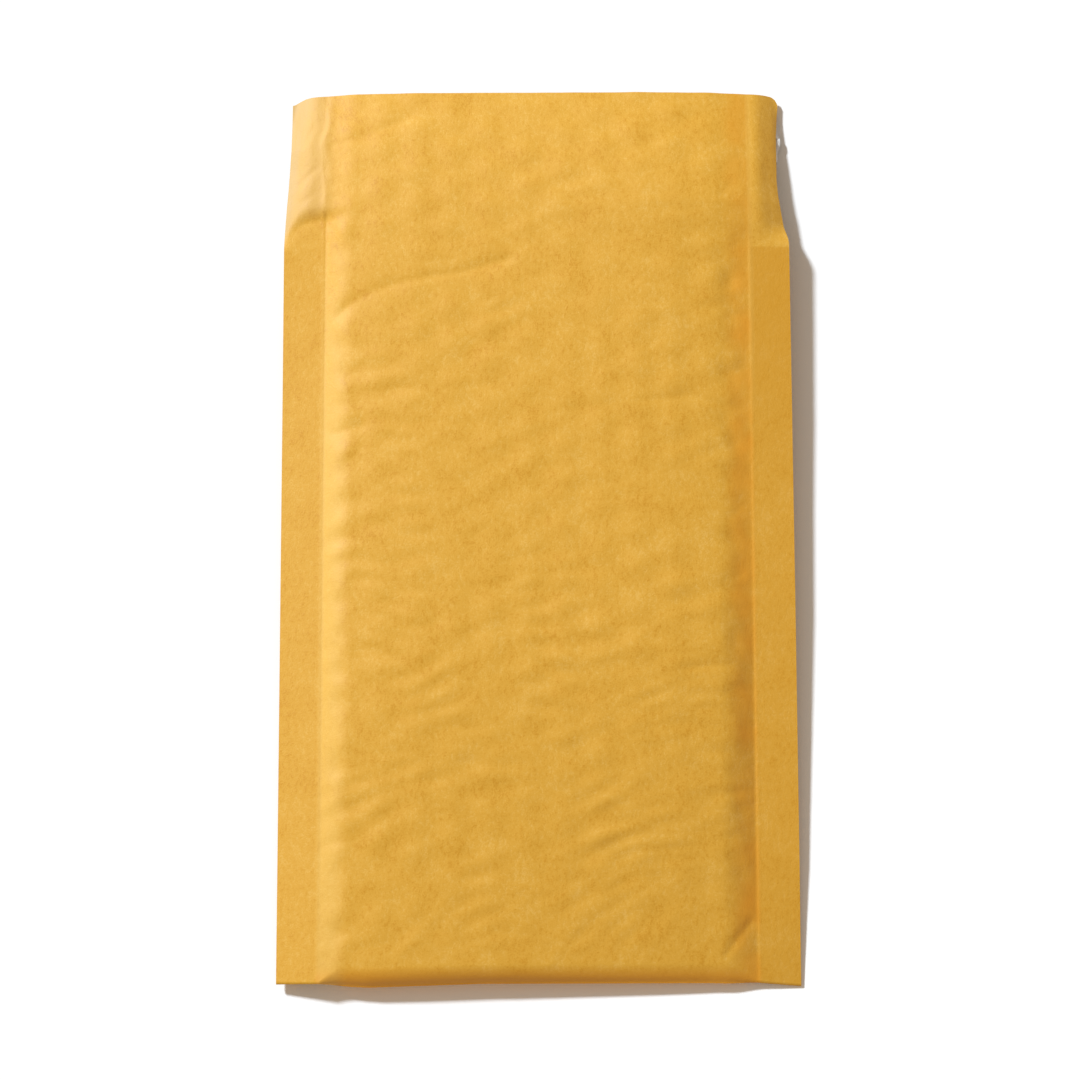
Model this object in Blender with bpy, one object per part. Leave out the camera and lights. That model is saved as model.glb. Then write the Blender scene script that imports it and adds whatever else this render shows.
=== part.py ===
"""Padded mailer of golden kraft paper, lying flat, address side up, with its flap open.

One sheet of paper is folded across the bottom: the long address panel on top, which runs on into
the flap, and the shorter front panel underneath. A sheet of bubble film is folded up inside it.
The side margins of both are pressed together into flat seams. A band of adhesive under its
release liner crosses the inner side of the flap.

A point of any ply has three coordinates on the folded sheet: across, from the middle of the
mailer; along, from the front panel's mouth edge round the bottom fold to the flap's end; and
its depth below the paper's outer face. in_space() folds such a point up into the mailer.

Metres, +Z up, +Y towards the flap's end, +X to the right of the address side. The origin is the
middle of the mailer's footprint, on the surface that it lies on.
"""

import math

import bmesh
import bpy
from mathutils import Vector
from mathutils.geometry import delaunay_2d_cdt

# Outline
WIDTH = 0.139
POUCH_LENGTH = 0.200
FLAP_LENGTH = 0.0447
SEAM_WIDTH = 0.0115

# Plies
PAPER = 0.00016
FILM = 0.00015
BUBBLE_HEIGHT = 0.0019
PLY_GAP = 0.0003
SEAM_GAP = 0.0003
CAVITY = 0.0044

# Puffed form
ROLL_WIDTH = 0.0105
ROLL_LAG = 0.0012
FOLD_PULL = 0.0009
SEAM_LIFT = 0.0020
RIGHT_CORNER_DROP = 0.0028
LEFT_CORNER_DROP = 0.0014
CORNER_DROP_LENGTH = 0.160
CORNER_DROP_POWER = 1.5
TELEGRAPH = 0.00022

# Flap
FLAP_DROP = 0.0050
FLAP_DROP_POWER = 2.0
FLAP_TRIM = 0.0020
MARGIN_CURL_RADIUS = 0.020
MARGIN_EASE = 0.012
LINING_STEP = 0.0045

# Bubble film
BUBBLE_COLUMN_STEP = 0.00998
BUBBLE_ROW_STEP = 0.01114
COLUMN_SHIFT = -0.0029
ROW_SHIFT = 0.0057
DOME_RADIUS = 0.0042
LINING_SIDE_SETBACK = 0.0012
LINING_MOUTH_SETBACK = 0.0015
LINING_FLAP_SETBACK = 0.0035

# Closure
ADHESIVE_WIDTH = 0.010
ADHESIVE_THICKNESS = 0.0003
ADHESIVE_SETBACK = 0.0030
ADHESIVE_SIDE_SETBACK = 0.0030
LINER_BORDER = 0.0010
LINER_THICKNESS = 0.00014
LINER_OVERHANG = 0.0010

# Fineness of the meshes
ROLL_STEPS = 5
FOLD_STEPS = 8
PANEL_STEP = 0.0115
FLAP_STEP = 0.0052
MARGIN_STEPS = 4

HALF_WIDTH = WIDTH / 2
SEAM_LINE = HALF_WIDTH - SEAM_WIDTH
ROLL_TOP = SEAM_LINE - ROLL_WIDTH
MID_HEIGHT = PAPER + PLY_GAP + BUBBLE_HEIGHT + FILM + CAVITY / 2
SEAM_HALF = PAPER + PLY_GAP + FILM + SEAM_GAP / 2
THICKNESS = 2 * MID_HEIGHT

BOTTOM_Y = -(POUCH_LENGTH + FLAP_LENGTH) / 2
MOUTH_Y = BOTTOM_Y + POUCH_LENGTH

# Stations along the sheet: the fold zone is the half round of the middle, laid flat
HALF_FOLD = math.pi / 2 * MID_HEIGHT
STRAIGHT_RUN = POUCH_LENGTH - FOLD_PULL - MID_HEIGHT
FOLD_START = STRAIGHT_RUN
FOLD_LINE = FOLD_START + HALF_FOLD
FOLD_END = FOLD_LINE + HALF_FOLD
MOUTH_LINE = FOLD_END + STRAIGHT_RUN
FLAP_END = MOUTH_LINE + FLAP_LENGTH
LINING_END = FLAP_END - LINING_FLAP_SETBACK
ADHESIVE_END = LINING_END - ADHESIVE_SETBACK


def clamp(value, low=0.0, high=1.0):
    return max(low, min(high, value))


def smooth(value):
    """Eases from 0 to 1 with level ends."""
    t = clamp(value)
    return t * t * (3 - 2 * t)


def mix(a, b, share):
    return a + (b - a) * share


def spaced(start, end, step):
    """Evenly spaced stations from start to end, about a step apart, both ends included."""
    count = max(1, math.ceil((end - start) / step))
    return [mix(start, end, i / count) for i in range(count + 1)]


def swell(across, lag=0.0):
    """0 on the side seams and 1 on the padded middle, rising in a quarter wave over the roll."""
    t = clamp((SEAM_LINE - lag - abs(across)) / (ROLL_WIDTH - lag))
    return math.sin(math.pi / 2 * t)


def slant(across, along):
    """How much further a ply's thickness reaches straight down where the roll slopes."""
    t = (SEAM_LINE - abs(across)) / ROLL_WIDTH
    if not 0 < t < 1:
        return 1.0
    slope = (MID_HEIGHT - SEAM_HALF) * math.pi / 2 * math.cos(math.pi / 2 * t) / ROLL_WIDTH
    return mix(math.hypot(1, slope), 1, flap_opening(along))


def outer_half(across):
    """Distance from the pouch's middle plane to the paper's outer face."""
    return mix(SEAM_HALF, MID_HEIGHT, swell(across))


def flap_opening(along):
    """0 on the pouch, rising to 1 where the flap has left the seams' form."""
    return smooth((along - MOUTH_LINE) / MARGIN_EASE)


def paper_depth(across, along):
    """Depth of the paper's inner face."""
    return PAPER * slant(across, along)


def film_depth(across, along):
    """Depth of the lining's inner face, towards the pocket."""
    in_pouch = outer_half(across) - mix(SEAM_GAP / 2, CAVITY / 2, swell(across, ROLL_LAG))
    lined = smooth((SEAM_LINE - abs(across)) / LINING_STEP)
    on_flap = PAPER + PLY_GAP + FILM + BUBBLE_HEIGHT * lined
    return mix(in_pouch, on_flap, flap_opening(along))


def web_depth(across, along):
    """Depth of the film between the bubbles."""
    return film_depth(across, along) - FILM * slant(across, along)


def dome_depth(across, along):
    """Depth of a bubble's crown, which presses on the paper or, by the seams, is flat."""
    under_paper = (PAPER + PLY_GAP) * slant(across, along)
    return min(under_paper, web_depth(across, along))


def seam_rise(across, along):
    """How far the seams lie above the middle plane: they sink towards the bottom corners."""
    from_fold = abs(along - FOLD_LINE)
    share = clamp(1 - from_fold / CORNER_DROP_LENGTH) ** CORNER_DROP_POWER
    drop = RIGHT_CORNER_DROP if across > 0 else LEFT_CORNER_DROP
    return (SEAM_LIFT - drop * share) * (1 - swell(across))


def on_pouch(across, along, depth):
    middle = MID_HEIGHT + seam_rise(across, along)
    reach = outer_half(across) - depth
    centre_y = BOTTOM_Y + FOLD_PULL * swell(across) + outer_half(across)
    if along < FOLD_START:
        y = mix(MOUTH_Y, centre_y, along / STRAIGHT_RUN)
        return Vector((across, y, middle - reach))
    if along > FOLD_END:
        y = mix(centre_y, MOUTH_Y, (along - FOLD_END) / STRAIGHT_RUN)
        return Vector((across, y, middle + reach))
    turn = math.pi * (along - FOLD_START) / (FOLD_END - FOLD_START)
    return Vector((across, centre_y - reach * math.sin(turn), middle - reach * math.cos(turn)))


def on_flap(across, along, depth):
    """The padded part sags towards its end, and the trimmed bare margins curl down beside it."""
    beyond = along - MOUTH_LINE
    share = flap_opening(along)
    crown = THICKNESS - FLAP_DROP * (beyond / FLAP_LENGTH) ** FLAP_DROP_POWER
    shut_z = crown - MID_HEIGHT + seam_rise(across, MOUTH_LINE) + outer_half(across) - depth
    bare = max(0.0, abs(across) - SEAM_LINE) * (1 - share * FLAP_TRIM / SEAM_WIDTH)
    turn = bare / MARGIN_CURL_RADIUS
    curl_x = (MARGIN_CURL_RADIUS - depth) * math.sin(turn)
    curl_z = (MARGIN_CURL_RADIUS - depth) * math.cos(turn)
    open_x = math.copysign(min(abs(across), SEAM_LINE) + curl_x, across)
    open_z = crown - MARGIN_CURL_RADIUS + curl_z
    return Vector((mix(across, open_x, share), MOUTH_Y + beyond, mix(shut_z, open_z, share)))


def in_space(across, along, depth):
    if along > MOUTH_LINE:
        return on_flap(across, along, depth)
    return on_pouch(across, along, depth)


def lattice_wave(across, along):
    """Height of a wave with one crest over each bubble: 1 at the centres, -0.5 between three."""
    u = (across - COLUMN_SHIFT) / (2 * BUBBLE_COLUMN_STEP)
    v = (along - MOUTH_LINE - ROW_SHIFT) / BUBBLE_ROW_STEP
    waves = (2 * u, u + v, u - v)
    return sum(math.cos(2 * math.pi * wave) for wave in waves) / 3


def telegraph(across, along):
    """The bubbles show through the top of the paper as low bumps. They fade where it bends."""
    if along < FOLD_END:
        return 0.0
    from_fold = smooth((along - FOLD_END) / BUBBLE_ROW_STEP)
    from_roll = smooth((SEAM_LINE - abs(across)) / ROLL_WIDTH)
    return TELEGRAPH * lattice_wave(across, along) * from_fold * from_roll


def bubble_centres(side, start, end):
    """Centres of the bubbles that fit between the seam lines, and between two stations."""
    half_cell = BUBBLE_ROW_STEP / 2
    columns = range(-math.ceil(side / BUBBLE_COLUMN_STEP), math.ceil(side / BUBBLE_COLUMN_STEP) + 1)
    for column in columns:
        across = COLUMN_SHIFT + column * BUBBLE_COLUMN_STEP
        if abs(across) + DOME_RADIUS > side:
            continue
        first = MOUTH_LINE + ROW_SHIFT + (column % 2) * half_cell
        rows = range(math.ceil((start + half_cell - first) / BUBBLE_ROW_STEP),
                     math.floor((end - half_cell - first) / BUBBLE_ROW_STEP) + 1)
        for row in rows:
            yield across, first + row * BUBBLE_ROW_STEP


def cell_corners(centre):
    """The six points where a bubble's cell meets two others, anticlockwise."""
    across, along = centre
    long_arm = BUBBLE_COLUMN_STEP * 2 / 3
    short_arm = BUBBLE_COLUMN_STEP / 3
    half_row = BUBBLE_ROW_STEP / 2
    arms = ((long_arm, 0), (short_arm, half_row), (-short_arm, half_row),
            (-long_arm, 0), (-short_arm, -half_row), (short_arm, -half_row))
    return [(clamp(across + a, -SEAM_LINE, SEAM_LINE), along + b) for a, b in arms]


def dome_rim(centre):
    """The six corners of a bubble's flat crown."""
    turns = (i * math.pi / 3 for i in range(6))
    return [(centre[0] + DOME_RADIUS * math.cos(t), centre[1] + DOME_RADIUS * math.sin(t))
            for t in turns]


def side_stations(half):
    """Stations across: margins, rolls and the flat middle."""
    roll = [mix(SEAM_LINE, ROLL_TOP, i / ROLL_STEPS) for i in range(ROLL_STEPS + 1)]
    margin = spaced(SEAM_LINE, half, SEAM_WIDTH / MARGIN_STEPS)[1:]
    middle = spaced(-ROLL_TOP, ROLL_TOP, PANEL_STEP)[1:-1]
    right = roll + margin
    return sorted([-x for x in right] + middle + right)


def long_stations(start, end):
    """Stations along the sheet between two ends: panels, fold zone and flap."""
    fold = spaced(FOLD_START, FOLD_END, 2 * HALF_FOLD / FOLD_STEPS)
    panels = spaced(0, FOLD_START, PANEL_STEP)[:-1] + spaced(FOLD_END, MOUTH_LINE, PANEL_STEP)[1:-1]
    flap = spaced(MOUTH_LINE, FLAP_END, FLAP_STEP)
    room = FLAP_STEP / 3
    inner = [s for s in panels + fold + flap if start + room < s < end - room]
    return sorted([start, end] + inner)


def grid(across, along):
    return [(u, s) for u in across for s in along]


def on_flat_middle(point):
    """True where a ply is flat, so that it needs no stations of its own."""
    across, along = point
    on_panel = along < FOLD_START or FOLD_END < along < MOUTH_LINE
    return abs(across) < ROLL_TOP and on_panel


def triangulated(points, lines=()):
    """A net of triangles over the points, anticlockwise, that keeps the given lines."""
    _, _, faces, sources, _, _ = delaunay_2d_cdt(
        [Vector(p) for p in points], list(lines), [], 0, 1e-7)
    return points, [[sources[i][0] for i in face] for face in faces]


def with_seam_lines(points):
    """Two lines for a net to keep, where the margins bend up from the rolls."""
    lines = []
    for side in (-SEAM_LINE, SEAM_LINE):
        on_line = [i for i, p in enumerate(points) if p[0] == side]
        on_line.sort(key=lambda i: points[i][1])
        lines += zip(on_line, on_line[1:])
    return lines


def rim(triangles):
    """The edges that only one triangle has, in its direction."""
    edges = {(t[i], t[(i + 1) % 3]) for t in triangles for i in range(3)}
    return sorted((a, b) for a, b in edges if (b, a) not in edges)


def closed_ply(name, material, front, back, front_depth, back_depth):
    """One closed thin body: an outer net, an inner net with the same rim, and the edge between."""
    bm = bmesh.new()
    laid = []
    for (points, triangles), depth in ((front, front_depth), (back, back_depth)):
        used = sorted({i for t in triangles for i in t})
        laid.append({i: bm.verts.new(in_space(*points[i], depth(*points[i]))) for i in used})
    for tri in front[1]:
        bm.faces.new([laid[0][i] for i in tri])
    for tri in back[1]:
        bm.faces.new([laid[1][i] for i in reversed(tri)])
    inner = {back[0][i]: vert for i, vert in laid[1].items()}
    for a, b in rim(front[1]):
        below_a, below_b = inner[front[0][a]], inner[front[0][b]]
        bm.faces.new((laid[0][b], laid[0][a], below_a, below_b))
    mesh = bpy.data.meshes.new(name)
    bm.to_mesh(mesh)
    bm.free()
    mesh.shade_smooth()
    mesh.set_sharp_from_angle(angle=math.radians(50))
    mesh.materials.append(material)
    ply = bpy.data.objects.new(name, mesh)
    bpy.context.collection.objects.link(ply)
    return ply


def finish(name, colour, roughness, transmission=0.0):
    material = bpy.data.materials.new(name)
    material.use_nodes = True
    shader = material.node_tree.nodes["Principled BSDF"]
    shader.inputs["Base Color"].default_value = (*colour, 1)
    shader.inputs["Roughness"].default_value = roughness
    shader.inputs["Transmission Weight"].default_value = transmission
    return material


def clear_scene():
    for obj in list(bpy.data.objects):
        bpy.data.objects.remove(obj, do_unlink=True)


def kraft_shell():
    """Address panel and flap, bottom fold and front panel, of one sheet of paper."""
    room = BUBBLE_ROW_STEP / 5

    def bumpy(across, along, inset=0.0):
        return abs(across) < ROLL_TOP - inset and FOLD_END + inset < along < FLAP_END - inset

    points = [p for p in grid(side_stations(HALF_WIDTH), long_stations(0, FLAP_END))
              if not bumpy(*p)]
    bumps = set()
    for centre in bubble_centres(SEAM_LINE, FOLD_END, FLAP_END):
        for u, s in [centre] + cell_corners(centre):
            if bumpy(u, s, room):
                bumps.add((round(u, 7), round(s, 7)))
    points += sorted(bumps)
    net = triangulated(points, with_seam_lines(points))
    kraft = finish("kraft_paper", (0.69, 0.37, 0.085), 0.75)
    return closed_ply("kraft_shell", kraft, net, net,
                      lambda u, s: -telegraph(u, s),
                      lambda u, s: paper_depth(u, s) - telegraph(u, s))


def bubble_lining():
    """Bubble film with its domes to the paper and its smooth side to the pocket."""
    half = HALF_WIDTH - LINING_SIDE_SETBACK
    start, end = LINING_MOUTH_SETBACK, LINING_END
    centres = list(bubble_centres(SEAM_LINE, start, end))
    cell_reach = math.hypot(BUBBLE_COLUMN_STEP, BUBBLE_ROW_STEP) / 2
    points, index, lines, crowns = [], {}, [], set()

    def add(point):
        key = (round(point[0], 6), round(point[1], 6))
        if key not in index:
            index[key] = len(points)
            points.append(point)
        return index[key]

    for u, s in grid(side_stations(half), long_stations(start, end)):
        inside = min(math.hypot(u - c[0], s - c[1]) for c in centres) < cell_reach
        if abs(u) >= SEAM_LINE or s in (start, end) or not (inside or on_flat_middle((u, s))):
            add((u, s))
    for centre in centres:
        cell = [add(p) for p in cell_corners(centre)]
        crown = [add(p) for p in dome_rim(centre)]
        lines += zip(cell, cell[1:] + cell[:1])
        crowns.update(crown)
    front = triangulated(points, lines + with_seam_lines(points))

    smooth_side = [p for i, p in enumerate(points) if i not in crowns
                   and (p[1] in (start, end) or not on_flat_middle(p))]
    smooth_side += [c for c in centres if FOLD_START < c[1] < FOLD_END]
    back = triangulated(smooth_side, with_seam_lines(smooth_side))

    def domed_depth(u, s):
        if add((u, s)) in crowns:
            return dome_depth(u, s) - telegraph(u, s)
        return web_depth(u, s)

    film = finish("bubble_film", (0.86, 0.88, 0.89), 0.2, transmission=0.6)
    return closed_ply("bubble_lining", film, front, back, domed_depth, film_depth)


def flap_band(name, material, half, start, end, depth, thickness):
    """A strip across the inner side of the flap, `depth` under the lining's inner face."""
    points = grid(side_stations(half), spaced(start, end, FLAP_STEP))
    net = triangulated(points, with_seam_lines(points))
    return closed_ply(name, material, net, net,
                      lambda u, s: film_depth(u, s) + depth,
                      lambda u, s: film_depth(u, s) + depth + thickness)


def adhesive_strip():
    half = HALF_WIDTH - LINING_SIDE_SETBACK - ADHESIVE_SIDE_SETBACK
    hot_melt = finish("hot_melt", (0.78, 0.72, 0.55), 0.35)
    return flap_band("adhesive_strip", hot_melt, half, ADHESIVE_END - ADHESIVE_WIDTH, ADHESIVE_END,
                     PLY_GAP, ADHESIVE_THICKNESS)


def release_liner():
    start = ADHESIVE_END - ADHESIVE_WIDTH - LINER_BORDER
    siliconed = finish("siliconed_paper", (0.88, 0.88, 0.86), 0.45)
    return flap_band("release_liner", siliconed, HALF_WIDTH + LINER_OVERHANG,
                     start, ADHESIVE_END + LINER_BORDER,
                     2 * PLY_GAP + ADHESIVE_THICKNESS, LINER_THICKNESS)


clear_scene()
kraft_shell()
bubble_lining()
adhesive_strip()
release_liner()
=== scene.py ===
# %% [markdown]
# # A padded mailer of golden kraft paper, lying flat with its flap open
# The real thing is one sheet of brown-gold wrapping paper and one sheet of bubble film, laid
# together, folded across the bottom and pressed shut along both sides. The bubbles keep the
# middle of the pouch about 9 mm thick, and the pressed side seams are as thin as a card.
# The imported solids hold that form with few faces. Here every ply is laid again, much finer, on the
# same folded sheet, so that it can carry what a light shows: bubbles that print through the paper,
# creases, curled margins, and the tiny unevenness of the paper itself.

import math

import bpy
import numpy as np
from mathutils import Matrix, Vector


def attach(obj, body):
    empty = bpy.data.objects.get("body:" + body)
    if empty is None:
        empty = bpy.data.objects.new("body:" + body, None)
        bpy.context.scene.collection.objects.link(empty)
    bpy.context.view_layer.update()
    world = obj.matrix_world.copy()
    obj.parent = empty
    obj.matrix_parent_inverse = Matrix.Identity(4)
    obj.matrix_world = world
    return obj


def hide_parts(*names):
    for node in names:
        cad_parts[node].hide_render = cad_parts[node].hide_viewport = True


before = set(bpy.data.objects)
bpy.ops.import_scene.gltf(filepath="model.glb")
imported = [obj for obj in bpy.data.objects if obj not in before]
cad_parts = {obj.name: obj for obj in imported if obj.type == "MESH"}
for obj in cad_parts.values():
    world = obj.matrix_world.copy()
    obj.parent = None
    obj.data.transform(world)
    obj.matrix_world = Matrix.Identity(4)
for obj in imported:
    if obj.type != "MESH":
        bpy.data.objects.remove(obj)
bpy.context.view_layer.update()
print("solids:", sorted(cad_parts))

# %% [markdown]
# ## The sizes of the folded sheet
# The new plies have to lie where the solids lie, so they start from the same sizes. All are in
# metres, and MM keeps small sizes readable. Where a size changes from place to place, a table of
# two rows gives it: places in millimetres first, values second. `np.interp` reads between them.

# %% Sizes of outline and plies
MM = 0.001
HALF_WIDTH, POUCH_LENGTH, FLAP_LENGTH, SEAM_WIDTH = 69.5 * MM, 200 * MM, 44.7 * MM, 11.5 * MM
PAPER, FILM, BUBBLE_HEIGHT = 0.16 * MM, 0.15 * MM, 1.9 * MM
PLY_GAP, SEAM_GAP, CAVITY = 0.3 * MM, 0.3 * MM, 4.4 * MM
LEFT_ROLL, RIGHT_ROLL, ROLL_LAG, FOLD_PULL = 7.6 * MM, 9.2 * MM, 1.2 * MM, 0.9 * MM

SEAM_LINE = HALF_WIDTH - SEAM_WIDTH
MID_HEIGHT = PAPER + PLY_GAP + BUBBLE_HEIGHT + FILM + CAVITY / 2
SEAM_HALF = PAPER + PLY_GAP + FILM + SEAM_GAP / 2
BOTTOM_Y = -(POUCH_LENGTH + FLAP_LENGTH) / 2
MOUTH_Y = BOTTOM_Y + POUCH_LENGTH
print(f"pouch {2 * MID_HEIGHT / MM:.1f} mm thick, mouth at y = {MOUTH_Y / MM:.1f} mm")

# %% Stations along the sheet, from the front panel's mouth edge to the flap's end
FOLD_START = POUCH_LENGTH - FOLD_PULL - MID_HEIGHT
FOLD_LINE = FOLD_START + math.pi / 2 * MID_HEIGHT
FOLD_END = FOLD_LINE + math.pi / 2 * MID_HEIGHT
MOUTH_LINE = FOLD_END + FOLD_START
FLAP_END = MOUTH_LINE + FLAP_LENGTH
print(f"the sheet is {FLAP_END / MM:.0f} mm long before it is folded")

# %% [markdown]
# ## The camera
# The photographer stood a little below the mailer's foot and looked almost straight down through a
# long lens: the side seams spread slightly towards the bottom. A camera is an object like any
# other, so it is placed with a matrix of three directions and a place. The lens is given in
# millimetres for a sensor 36 mm wide.

# %% Camera
TILT, DISTANCE, LENS = math.radians(10), 0.771, 95.1
AIM = Vector((0.7, -3.95, 6.5)) * MM
ROLL_ANGLE = math.radians(-0.21)

look = Vector((0, math.sin(TILT), -math.cos(TILT)))
axes = Matrix((Vector((1, 0, 0)), Vector((0, math.cos(TILT), math.sin(TILT))), -look)).transposed()
camera = bpy.data.objects.new("camera", bpy.data.cameras.new("camera"))
camera.matrix_world = (Matrix.Translation(AIM - DISTANCE * look) @ axes.to_4x4()
                       @ Matrix.Rotation(ROLL_ANGLE, 4, "Z"))
camera.data.lens, camera.data.sensor_width = LENS, 36
camera.data.clip_start = 0.01
bpy.context.scene.collection.objects.link(camera)
bpy.context.scene.camera = camera
print("camera at", [round(v, 3) for v in camera.location])

# %% [markdown]
# ## Shader wires that read as arithmetic
# A finish is a net of nodes. Written out node by node it hides its own formula, so one small class
# wraps a socket and lets Python's operators add the Math nodes: `1 - mask` is then a real wire.
# `Finish` holds a node tree, and its method `add` brings in any other node by its type, its
# settings, and the values or wires of its sockets.

# %% Wire and Finish
class Wire:
    """The end of a shader wire. Arithmetic on it adds Math nodes."""

    def __init__(self, finish, socket):
        self.finish, self.socket = finish, socket

    def maths(self, operation, *values):
        return self.finish.add("ShaderNodeMath", {"operation": operation}, dict(enumerate(values)))

    def __add__(self, other):
        return self.maths("ADD", self, other)

    def __sub__(self, other):
        return self.maths("SUBTRACT", self, other)

    def __rsub__(self, other):
        return self.maths("SUBTRACT", other, self)

    def __mul__(self, other):
        return self.maths("MULTIPLY", self, other)

    def __rtruediv__(self, other):
        return self.maths("DIVIDE", other, self)

    def __pow__(self, other):
        return self.maths("POWER", self, other)

    def __abs__(self):
        return self.maths("ABSOLUTE", self)

    def larger(self, other):
        return self.maths("MAXIMUM", self, other)

    def rise(self, low, high):
        """0 below `low`, 1 above `high`, and a smooth step between them."""
        return self.finish.add("ShaderNodeMapRange", {"interpolation_type": "SMOOTHSTEP"},
                               {0: self, 1: low, 2: high})


class Finish:
    """A node tree, with one way in for its nodes."""

    def __init__(self, owner):
        owner.use_nodes = True
        self.owner, self.tree = owner, owner.node_tree
        self.shader = self.tree.nodes.get("Principled BSDF")

    def fill(self, node, sockets):
        for key, value in sockets.items():
            if isinstance(value, Wire):
                self.tree.links.new(value.socket, node.inputs[key])
            else:
                node.inputs[key].default_value = value

    def add(self, kind, settings=None, sockets=None, output=0):
        node = self.tree.nodes.new(kind)
        for name, value in (settings or {}).items():
            setattr(node, name, value)
        self.fill(node, sockets or {})
        return Wire(self, node.outputs[output])

    def mix(self, share, first, second, blend="MIX"):
        """One colour over another: Mix keeps the hue that a Math node would lose."""
        return self.add("ShaderNodeMix", {"data_type": "RGBA", "blend_type": blend},
                        {0: share, 6: first, 7: second}, output=2)

    def noise(self, place, scale, detail=2.0, roughness=0.5):
        return self.add("ShaderNodeTexNoise", {},
                        {"Vector": place, "Scale": scale, "Detail": detail, "Roughness": roughness})

    def stretched(self, place, factors):
        return self.add("ShaderNodeVectorMath", {"operation": "MULTIPLY"}, {0: place, 1: factors})

    def part(self, place, axis):
        return self.add("ShaderNodeSeparateXYZ", {}, {0: place}, output="XYZ".index(axis))


def new_finish(name):
    return Finish(bpy.data.materials.new(name))


# %% [markdown]
# ## Light
# One soft lamp stands to the upper left, at about 38 degrees over the floor and a little under
# two metres away. It is close enough to make the flap brighter than the foot, and small enough to
# leave a shadow with a narrow soft rim. The room adds the rest. Its share is warm and the lamp's is
# cool, so that both together are white, and a shadow is a warm brown-grey. The strength is worked
# out and not guessed: a lamp of P watts at distance r gives a white card the brightness
# P * height / (pi^2 r^3).

# %% Lamp and room
ROOM = (0.362, 0.300, 0.238)
KEY = tuple(1 - share for share in ROOM)
LAMP_AT = Vector((-1.137, 1.022, 1.179))
LAMP_SIZE = 0.24

reach = LAMP_AT.length
key_level = max(KEY)
lamp_data = bpy.data.lights.new("lamp", "AREA")
lamp_data.shape, lamp_data.size = "DISK", LAMP_SIZE
lamp_data.color = [share / key_level for share in KEY]
lamp_data.energy = key_level * math.pi ** 2 * reach ** 3 / LAMP_AT.z
lamp = bpy.data.objects.new("lamp", lamp_data)
lamp.location = LAMP_AT
lamp.rotation_euler = (-LAMP_AT).to_track_quat("-Z", "Y").to_euler()
lamp.visible_camera = False
bpy.context.scene.collection.objects.link(lamp)
print(f"lamp {lamp_data.energy:.1f} W at {reach:.2f} m")

# %% [markdown]
# The room is the world's colour. What the camera, a reflection or a clear film sees of it is plain
# white: Light Path tells the kind of ray apart, and its outputs are 0 or 1.

# %% World
def seen_rays(finish):
    """1 for rays from the camera, off a gloss or through a clear film, otherwise 0."""
    kinds = ("Is Camera Ray", "Is Glossy Ray", "Is Transmission Ray")
    camera_ray, glossy, through = (
        finish.add("ShaderNodeLightPath", output=kind) for kind in kinds)
    return camera_ray.larger(glossy).larger(through)


world = bpy.data.worlds.new("room")
bpy.context.scene.world = world
room = Finish(world)
sky = room.tree.nodes["Background"]
room.fill(sky, {"Color": room.mix(seen_rays(room), (*ROOM, 1), (1, 1, 1, 1)), "Strength": 1.0})
bpy.context.scene.view_settings.view_transform = "Standard"
print("world nodes:", len(room.tree.nodes))

# %% [markdown]
# ## The floor
# The mailer lies on a white sweep that shows nothing but its shadow. A near lamp can't light a
# floor evenly, so what the camera sees of it gets a colour that rises as the lamp's light falls
# off, measured on green as the middle of the three. In full light it is then white everywhere, and
# where the mailer shades it the warm share of the room is left. Light that bounces off the floor
# still comes from a plain pale one. The floor lies a hair under the mailer, because two faces in
# one plane hide each other by chance.

# %% Floor
FLOOR_HALF, FLOOR_GAP = 3.0, 0.02 * MM
PALE, WHITE_MARGIN, GREEN = (0.8, 0.8, 0.8, 1), 1.06, 1

floor_mesh = bpy.data.meshes.new("floor")
corners = [(-1, -1, 0), (1, -1, 0), (1, 1, 0), (-1, 1, 0)]
floor_mesh.from_pydata([Vector(c) * FLOOR_HALF for c in corners], [], [(0, 1, 2, 3)])
floor = bpy.data.objects.new("floor", floor_mesh)
floor.location.z = -FLOOR_GAP
bpy.context.scene.collection.objects.link(floor)

pale = new_finish("pale_floor")
place = pale.add("ShaderNodeTexCoord", output="Object")
away = pale.add("ShaderNodeVectorMath", {"operation": "DISTANCE"}, {0: place, 1: LAMP_AT},
                output=1)
fall = (reach / away) ** 3
even = WHITE_MARGIN / (fall * KEY[GREEN] + ROOM[GREEN])
white = pale.add("ShaderNodeCombineColor", {}, {0: even, 1: even, 2: even})
seen = pale.add("ShaderNodeBsdfDiffuse", {}, {"Color": white})
plain = pale.add("ShaderNodeBsdfDiffuse", {}, {"Color": PALE})
pale.fill(pale.tree.nodes["Material Output"],
          {0: pale.add("ShaderNodeMixShader", {}, {0: seen_rays(pale), 1: plain, 2: seen})})
floor_mesh.materials.append(pale.owner)
print("floor laid,", 2 * FLOOR_HALF, "m wide")

# %% [markdown]
# ## Folding the sheet
# Every ply is drawn on the flat sheet first: `across` from the middle, `along` from the front
# panel's mouth edge round the bottom fold to the flap's end, and `depth` below the paper's outer
# face. These functions fold such points up. They take whole arrays, because numpy moves a hundred
# thousand points as easily as one. The pouch swells from the seams in a quarter wave, which is the
# way a stuffed envelope rounds over.
#
# A handled mailer isn't even, so small functions bend that form. The seams stand a little above
# half height near the mouth and sink towards the bottom, the right corner nearly to the floor. They
# are pressed thinner than the solids, whose plies need gaps. The pad is squeezed flatter towards the
# foot and falls away beside its crown, and the mouth gapes a little at the right. The bottom was
# creased flat once, so its fold comes to a blunt point. The fold line bows, and its right corner
# sits a little askew.

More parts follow.
